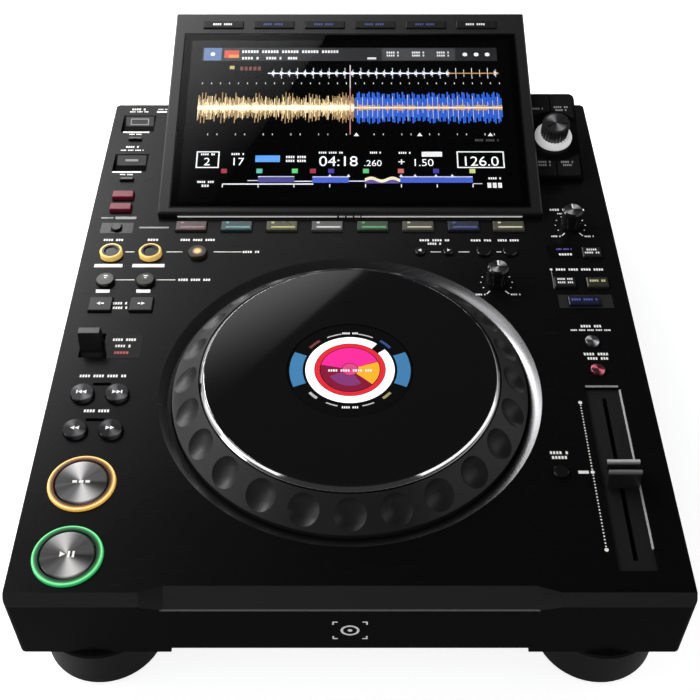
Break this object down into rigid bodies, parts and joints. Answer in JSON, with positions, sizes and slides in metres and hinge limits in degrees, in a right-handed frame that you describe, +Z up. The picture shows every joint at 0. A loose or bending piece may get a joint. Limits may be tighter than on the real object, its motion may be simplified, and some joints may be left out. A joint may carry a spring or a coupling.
{
  "type": "tabletop dj player",
  "caption": "Flat club media player for DJs: jog dial with a display in its middle, tilted colour screen, tempo fader, browse knob, lit keys and round feet.",
  "frame": {"origin": "on the table, under the middle of the player's outline", "axes": "+X to the user's right, +Y from the user's edge to the rear, +Z up"},
  "size_m": [0.329, 0.4536, 0.122],
  "materials": {
    "cover": "satin",
    "sheet": "satin black powder coat",
    "foot": "matte",
    "connector": "satin",
    "board": "satin",
    "supply": "plain",
    "dial": "polished",
    "plate": "mirror polished",
    "display": "glossy",
    "inner": "matte",
    "frame": "satin",
    "glass": "polished",
    "lcd": "glossy",
    "fader": "matte",
    "fader_knob": "satin",
    "light": "frosted",
    "spun": "spun",
    "key": "satin",
    "metal_key": "satin",
    "lit_key": "frosted",
    "red_key": "frosted",
    "pad_1": "frosted",
    "pad_2": "frosted",
    "pad_3": "frosted",
    "pad_4": "frosted",
    "pad_5": "frosted",
    "pad_6": "frosted",
    "pad_7": "frosted",
    "pad_8": "frosted",
    "selector": "satin with a bright skirt",
    "shaft": "plain",
    "lever": "satin"
  },
  "bodies": {
    "chassis": {"top_cover": "cover", "bottom_chassis": "sheet", "rear_panel": "sheet", "connectors": "connector", "feet": "foot", "screen_housing": "frame", "screen_back_cover": "frame", "screen_glass": "glass", "lcd_panel": "lcd", "circuit_boards": "board", "power_supply": "supply", "jog_base": "inner", "jog_display": "display", "fader_unit": "fader", "light_rings": "light", "selector_plinth": "frame"},
    "jog_dial": {"jog_dial": "dial"},
    "jog_top_plate": {"jog_top_plate": "plate"},
    "tempo_fader_knob": {"tempo_fader_knob": "fader_knob"},
    "direction_lever": {"direction_lever": "lever"},
    "selector_shaft": {"selector_shaft": "shaft"},
    "selector_knob": {"selector_knob": "selector"},
    "play_pause_key": {"play_pause_key": "spun"},
    "cue_key": {"cue_key": "spun"},
    "vinyl_speed_knob": {"vinyl_speed_knob": "key"},
    "jog_adjust_knob": {"jog_adjust_knob": "key"},
    "search_back_key": {"search_back_key": "key"},
    "search_forward_key": {"search_forward_key": "key"},
    "track_search_back_key": {"track_search_back_key": "key"},
    "track_search_forward_key": {"track_search_forward_key": "key"},
    "loop_in_key": {"loop_in_key": "metal_key"},
    "loop_out_key": {"loop_out_key": "metal_key"},
    "reloop_key": {"reloop_key": "key"},
    "beat_loop_keys": {"beat_loop_keys": "key"},
    "beat_jump_back_key": {"beat_jump_back_key": "key"},
    "beat_jump_forward_key": {"beat_jump_forward_key": "key"},
    "hot_cue_1_key": {"hot_cue_1_key": "pad_1"},
    "slip_key": {"slip_key": "red_key"},
    "quantize_key": {"quantize_key": "red_key"},
    "time_mode_key": {"time_mode_key": "key"},
    "beat_sync_key": {"beat_sync_key": "key"},
    "master_key": {"master_key": "key"},
    "key_sync_key": {"key_sync_key": "key"},
    "tempo_range_key": {"tempo_range_key": "key"},
    "master_tempo_key": {"master_tempo_key": "key"},
    "tempo_reset_key": {"tempo_reset_key": "key"},
    "jog_mode_key": {"jog_mode_key": "key"},
    "call_keys": {"call_keys": "key"},
    "memory_keys": {"memory_keys": "key"},
    "screen_keys": {"screen_keys": "key"},
    "selector_keys": {"selector_keys": "key"},
    "power_button": {"power_button": "key"},
    "stick_stop_keys": {"stick_stop_keys": "key"},
    "hot_cue_2_key": {"hot_cue_2_key": "pad_2"},
    "hot_cue_3_key": {"hot_cue_3_key": "pad_3"},
    "hot_cue_4_key": {"hot_cue_4_key": "pad_4"},
    "hot_cue_5_key": {"hot_cue_5_key": "pad_5"},
    "hot_cue_6_key": {"hot_cue_6_key": "pad_6"},
    "hot_cue_7_key": {"hot_cue_7_key": "pad_7"},
    "hot_cue_8_key": {"hot_cue_8_key": "pad_8"}
  },
  "joints": [
    {"name": "jog_dial_turn", "type": "hinge", "parent": "chassis", "child": "jog_dial", "pos_m": [0, -0.0881, 0.0758], "axis": [0, 0, 1], "continuous": true},
    {"name": "tempo_fader_slide", "type": "slide", "parent": "chassis", "child": "tempo_fader_knob", "axis": [0, 1, 0], "range_m": [-0.0456, 0.0544]},
    {"name": "direction_lever_tilt", "type": "hinge", "parent": "chassis", "child": "direction_lever", "pos_m": [-0.1465, -0.0565, 0.0664], "axis": [1, 0, 0], "range_deg": [-12, 12]},
    {"name": "selector_turn", "type": "hinge", "parent": "selector_shaft", "child": "selector_knob", "pos_m": [0.1359, 0.12634, 0.08721], "axis": [0, -0.2453, 0.9694], "continuous": true},
    {"name": "jog_plate_press", "type": "slide", "parent": "jog_dial", "child": "jog_top_plate", "axis": [0, 0, 1], "range_m": [-0.0003, 0], "stiffness_N_per_m": 6000, "springref_m": 0.0004},
    {"name": "play_pause_press", "type": "slide", "parent": "chassis", "child": "play_pause_key", "axis": [0, 0, 1], "range_m": [-0.001, 0], "stiffness_N_per_m": 1000, "springref_m": 0.0006},
    {"name": "cue_press", "type": "slide", "parent": "chassis", "child": "cue_key", "axis": [0, 0, 1], "range_m": [-0.001, 0], "stiffness_N_per_m": 1000, "springref_m": 0.0006},
    {"name": "selector_press", "type": "slide", "parent": "chassis", "child": "selector_shaft", "axis": [0, -0.2453, 0.9694], "range_m": [-0.0005, 0], "stiffness_N_per_m": 1500, "springref_m": 0.0004},
    {"name": "vinyl_speed_turn", "type": "hinge", "parent": "chassis", "child": "vinyl_speed_knob", "pos_m": [0.1388, 0.0484, 0.0758], "axis": [0, 0, 1], "range_deg": [-150, 150]},
    {"name": "jog_adjust_turn", "type": "hinge", "parent": "chassis", "child": "jog_adjust_knob", "pos_m": [0.0878, -0.0041, 0.0758], "axis": [0, 0, 1], "range_deg": [-150, 150]},
    {"name": "search_back_press", "type": "slide", "parent": "chassis", "child": "search_back_key", "axis": [0, 0, 1], "range_m": [-0.001, 0], "stiffness_N_per_m": 500, "springref_m": 0.0006},
    {"name": "search_forward_press", "type": "slide", "parent": "chassis", "child": "search_forward_key", "axis": [0, 0, 1], "range_m": [-0.001, 0], "stiffness_N_per_m": 500, "springref_m": 0.0006},
    {"name": "track_search_back_press", "type": "slide", "parent": "chassis", "child": "track_search_back_key", "axis": [0, 0, 1], "range_m": [-0.001, 0], "stiffness_N_per_m": 500, "springref_m": 0.0006},
    {"name": "track_search_forward_press", "type": "slide", "parent": "chassis", "child": "track_search_forward_key", "axis": [0, 0, 1], "range_m": [-0.001, 0], "stiffness_N_per_m": 500, "springref_m": 0.0006},
    {"name": "loop_in_press", "type": "slide", "parent": "chassis", "child": "loop_in_key", "axis": [0, 0, 1], "range_m": [-0.001, 0], "stiffness_N_per_m": 500, "springref_m": 0.0006},
    {"name": "loop_out_press", "type": "slide", "parent": "chassis", "child": "loop_out_key", "axis": [0, 0, 1], "range_m": [-0.001, 0], "stiffness_N_per_m": 500, "springref_m": 0.0006},
    {"name": "reloop_press", "type": "slide", "parent": "chassis", "child": "reloop_key", "axis": [0, 0, 1], "range_m": [-0.001, 0], "stiffness_N_per_m": 500, "springref_m": 0.0006},
    {"name": "beat_loop_keys_press", "type": "slide", "parent": "chassis", "child": "beat_loop_keys", "axis": [0, 0, 1], "range_m": [-0.001, 0], "stiffness_N_per_m": 500, "springref_m": 0.0006},
    {"name": "beat_jump_back_press", "type": "slide", "parent": "chassis", "child": "beat_jump_back_key", "axis": [0, 0, 1], "range_m": [-0.001, 0], "stiffness_N_per_m": 500, "springref_m": 0.0006},
    {"name": "beat_jump_forward_press", "type": "slide", "parent": "chassis", "child": "beat_jump_forward_key", "axis": [0, 0, 1], "range_m": [-0.001, 0], "stiffness_N_per_m": 500, "springref_m": 0.0006},
    {"name": "hot_cue_1_press", "type": "slide", "parent": "chassis", "child": "hot_cue_1_key", "axis": [0, 0, 1], "range_m": [-0.001, 0], "stiffness_N_per_m": 500, "springref_m": 0.0006},
    {"name": "slip_press", "type": "slide", "parent": "chassis", "child": "slip_key", "axis": [0, 0, 1], "range_m": [-0.001, 0], "stiffness_N_per_m": 500, "springref_m": 0.0006},
    {"name": "quantize_press", "type": "slide", "parent": "chassis", "child": "quantize_key", "axis": [0, 0, 1], "range_m": [-0.001, 0], "stiffness_N_per_m": 500, "springref_m": 0.0006},
    {"name": "time_mode_press", "type": "slide", "parent": "chassis", "child": "time_mode_key", "axis": [0, 0, 1], "range_m": [-0.001, 0], "stiffness_N_per_m": 500, "springref_m": 0.0006},
    {"name": "beat_sync_press", "type": "slide", "parent": "chassis", "child": "beat_sync_key", "axis": [0, 0, 1], "range_m": [-0.001, 0], "stiffness_N_per_m": 500, "springref_m": 0.0006},
    {"name": "master_press", "type": "slide", "parent": "chassis", "child": "master_key", "axis": [0, 0, 1], "range_m": [-0.001, 0], "stiffness_N_per_m": 500, "springref_m": 0.0006},
    {"name": "key_sync_press", "type": "slide", "parent": "chassis", "child": "key_sync_key", "axis": [0, 0, 1], "range_m": [-0.001, 0], "stiffness_N_per_m": 500, "springref_m": 0.0006},
    {"name": "tempo_range_press", "type": "slide", "parent": "chassis", "child": "tempo_range_key", "axis": [0, 0, 1], "range_m": [-0.001, 0], "stiffness_N_per_m": 500, "springref_m": 0.0006},
    {"name": "master_tempo_press", "type": "slide", "parent": "chassis", "child": "master_tempo_key", "axis": [0, 0, 1], "range_m": [-0.001, 0], "stiffness_N_per_m": 500, "springref_m": 0.0006},
    {"name": "tempo_reset_press", "type": "slide", "parent": "chassis", "child": "tempo_reset_key", "axis": [0, 0, 1], "range_m": [-0.001, 0], "stiffness_N_per_m": 500, "springref_m": 0.0006},
    {"name": "jog_mode_press", "type": "slide", "parent": "chassis", "child": "jog_mode_key", "axis": [0, 0, 1], "range_m": [-0.001, 0], "stiffness_N_per_m": 500, "springref_m": 0.0006},
    {"name": "call_keys_press", "type": "slide", "parent": "chassis", "child": "call_keys", "axis": [0, 0, 1], "range_m": [-0.001, 0], "stiffness_N_per_m": 500, "springref_m": 0.0006},
    {"name": "memory_keys_press", "type": "slide", "parent": "chassis", "child": "memory_keys", "axis": [0, 0, 1], "range_m": [-0.001, 0], "stiffness_N_per_m": 500, "springref_m": 0.0006},
    {"name": "screen_keys_press", "type": "slide", "parent": "chassis", "child": "screen_keys", "axis": [0, -0.2453, 0.9694], "range_m": [-0.0008, 0], "stiffness_N_per_m": 1500, "springref_m": 0.0006},
    {"name": "selector_keys_press", "type": "slide", "parent": "chassis", "child": "selector_keys", "axis": [0, -0.2453, 0.9694], "range_m": [-0.0008, 0], "stiffness_N_per_m": 1500, "springref_m": 0.0006},
    {"name": "power_button_press", "type": "slide", "parent": "chassis", "child": "power_button", "axis": [0, -1, 0], "range_m": [0, 0.0015], "stiffness_N_per_m": 800, "springref_m": -0.0008},
    {"name": "stick_stop_keys_press", "type": "slide", "parent": "chassis", "child": "stick_stop_keys", "axis": [0, 0, 1], "range_m": [-0.001, 0], "stiffness_N_per_m": 500, "springref_m": 0.0006},
    {"name": "hot_cue_2_press", "type": "slide", "parent": "chassis", "child": "hot_cue_2_key", "axis": [0, 0, 1], "range_m": [-0.001, 0], "stiffness_N_per_m": 500, "springref_m": 0.0006},
    {"name": "hot_cue_3_press", "type": "slide", "parent": "chassis", "child": "hot_cue_3_key", "axis": [0, 0, 1], "range_m": [-0.001, 0], "stiffness_N_per_m": 500, "springref_m": 0.0006},
    {"name": "hot_cue_4_press", "type": "slide", "parent": "chassis", "child": "hot_cue_4_key", "axis": [0, 0, 1], "range_m": [-0.001, 0], "stiffness_N_per_m": 500, "springref_m": 0.0006},
    {"name": "hot_cue_5_press", "type": "slide", "parent": "chassis", "child": "hot_cue_5_key", "axis": [0, 0, 1], "range_m": [-0.001, 0], "stiffness_N_per_m": 500, "springref_m": 0.0006},
    {"name": "hot_cue_6_press", "type": "slide", "parent": "chassis", "child": "hot_cue_6_key", "axis": [0, 0, 1], "range_m": [-0.001, 0], "stiffness_N_per_m": 500, "springref_m": 0.0006},
    {"name": "hot_cue_7_press", "type": "slide", "parent": "chassis", "child": "hot_cue_7_key", "axis": [0, 0, 1], "range_m": [-0.001, 0], "stiffness_N_per_m": 500, "springref_m": 0.0006},
    {"name": "hot_cue_8_press", "type": "slide", "parent": "chassis", "child": "hot_cue_8_key", "axis": [0, 0, 1], "range_m": [-0.001, 0], "stiffness_N_per_m": 500, "springref_m": 0.0006}
  ]
}
